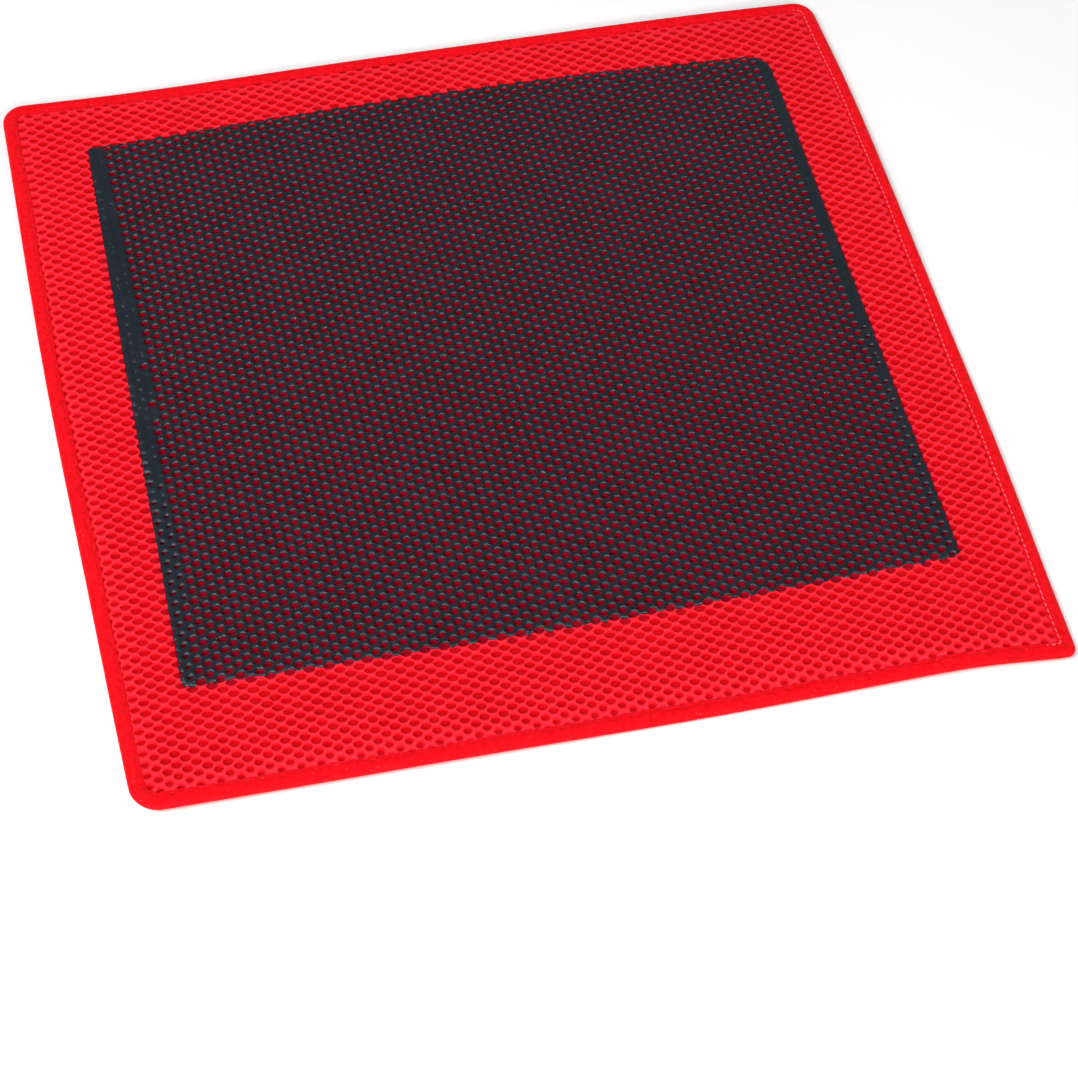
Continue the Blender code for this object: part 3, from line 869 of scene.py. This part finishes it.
def seam_mesh(name, height, side):
    """Single stitches sewn in a straight row, then bent round the towel's edge."""
    seam = bmesh.new()
    seam.loops.layers.uv.new("yarn")
    shape = Matrix.Diagonal((STITCH_LENGTH / 2, THREAD_THICKNESS / 2, THREAD_THICKNESS / 2, 1))
    lying = Matrix.Rotation(math.pi / 2, 4, "Y")
    bmesh.ops.create_uvsphere(
        seam, u_segments=7, v_segments=6, radius=1, matrix=shape @ lying, calc_uvs=True
    )
    for doubling in range(9):
        copies = bmesh.ops.duplicate(seam, geom=seam.verts[:] + seam.edges[:] + seam.faces[:])["geom"]
        corners = [item for item in copies if isinstance(item, bmesh.types.BMVert)]
        bmesh.ops.translate(seam, vec=(ROW_PITCH * 2**doubling, 0, 0), verts=corners)
    points = points_of(seam)
    stitch = np.round(points[:, 0] / ROW_PITCH)
    along = points[:, 0] - stitch * ROW_PITCH
    slant = 0.4 * (chance(stitch, stitch * 0.37) - 0.3)
    share = (stitch + 0.5) / STITCHES + along / SEAM_LENGTH
    inset = STITCH_INSET + points[:, 1] + slant * along + 0.00006 * (chance(stitch, 5.0) - 0.5)
    dip = 0.00020 * (np.abs(along) / (STITCH_LENGTH / 2)) ** 3
    sewn = round_the_edge(share, inset, height + points[:, 2] - side * dip)
    loose = ease(sewn[:, 0], HALF_WIDTH - 0.014, HALF_WIDTH - 0.008)  # the right side's stand clear
    sewn[:, 2] -= side * SUNK * (1 - loose)
    move_points(seam, sewn)
    bmesh.ops.recalc_face_normals(seam, faces=seam.faces)
    mesh = bpy.data.meshes.new(name)
    seam.to_mesh(mesh)
    seam.free()
    return mesh


def thread_material():
    """Two-ply polyester thread with a soft shine."""
    material, tree, shader = plain_material("Seam thread", 0.4, 0.35, 0.2, (1.0, 0.7, 0.75, 1))
    lie = node(tree, "ShaderNodeUVMap", uv_map="yarn")
    yarn = node(tree, "ShaderNodeGroup", node_tree=yarn_group)
    tree.links.new(lie.outputs[0], yarn.inputs["Map"])
    yarn.inputs["Strands"].default_value = 2.0
    yarn.inputs["Slant"].default_value = 4.0
    share = node(tree, "ShaderNodeClamp", {0: yarn.outputs["Shade"]}).outputs[0]
    # painted highlight and shade: the plies' crowns are painted paler and the gaps between them deeper
    dye_and_painted_shading = mixed(tree, share, (0.84, 0.050, 0.080, 1), (1.0, 0.20, 0.26, 1))
    tree.links.new(dye_and_painted_shading, shader.inputs["Base Color"])
    bump = node(tree, "ShaderNodeBump", {"Height": yarn.outputs["Height"], "Distance": 0.00008})
    tree.links.new(bump.outputs[0], shader.inputs["Normal"])
    return material


thread_pink = thread_material()
needle_seam = add_piece(
    seam_mesh("needle_seam", NEEDLE_HEIGHT, 1),
    thread_pink,
    ("needle_thread_left", "needle_thread_right"),
)
bobbin_seam = add_piece(
    seam_mesh("bobbin_seam", BOBBIN_HEIGHT, -1),
    thread_pink,
    ("bobbin_thread_left", "bobbin_thread_right"),
)

# ---------------------------------------------------------------- floor, light and camera
# A pale floor in a plain white studio, lit by broad soft lights, seen as the towel was shown.

floor_mesh = bmesh.new()
bmesh.ops.create_grid(floor_mesh, x_segments=2, y_segments=2, size=4)
floor_data = bpy.data.meshes.new("floor")
floor_mesh.to_mesh(floor_data)
floor_mesh.free()
floor_data.transform(Matrix.Translation((0, 0, -0.0002)))
floor = bpy.data.objects.new("floor", floor_data)
bpy.context.scene.collection.objects.link(floor)
paper, tree, shader = plain_material("Floor paper", 0.9, 0.0, 0.0)
place = node(tree, "ShaderNodeTexCoord").outputs["Object"]
grain = node(tree, "ShaderNodeTexNoise", {"Vector": place, "Scale": 3.0})
pale = mixed(tree, grain.outputs[0], (0.90, 0.90, 0.90, 1), (0.93, 0.93, 0.93, 1))
tree.links.new(pale, shader.inputs["Base Color"])
floor_data.materials.append(paper)

world = bpy.data.worlds.new("Studio")
bpy.context.scene.world = world
world.use_nodes = True
world.node_tree.nodes["Background"].inputs["Color"].default_value = (1, 1, 1, 1)
world.node_tree.nodes["Background"].inputs["Strength"].default_value = 0.32


def softbox(name, place, size, power, aim=(0, 0, 0)):
    """A broad soft light that faces aim."""
    light = bpy.data.lights.new(name, "AREA")
    light.shape = "RECTANGLE"
    light.size, light.size_y = size
    light.energy = power
    lamp = bpy.data.objects.new(name, light)
    lamp.location = place
    lamp.rotation_euler = (Vector(aim) - Vector(place)).to_track_quat("-Z", "Y").to_euler()
    bpy.context.scene.collection.objects.link(lamp)


softbox("key", (-0.9, -0.5, 1.5), (0.9, 0.9), 27.0)
softbox("front", (0.1, -1.7, 1.15), (1.4, 0.5), 22.0)

camera = bpy.data.objects.new("camera", bpy.data.cameras.new("camera"))
camera.data.lens = 102.05  # millimetres, on a 36 mm sensor
camera.data.sensor_width = 36.0
camera.data.clip_start = 0.05
right = Vector((0.97063, -0.23472, 0.05281))
up = Vector((0.16054, 0.79538, 0.58446))
forward = Vector((0.17919, 0.55882, -0.80970))
turn = Matrix((right, up, -forward)).transposed().to_4x4()
camera.matrix_world = Matrix.Translation((-0.19328, -0.65596, 0.84215)) @ turn
bpy.context.scene.collection.objects.link(camera)
bpy.context.scene.camera = camera
bpy.context.scene.view_settings.view_transform = "Standard"
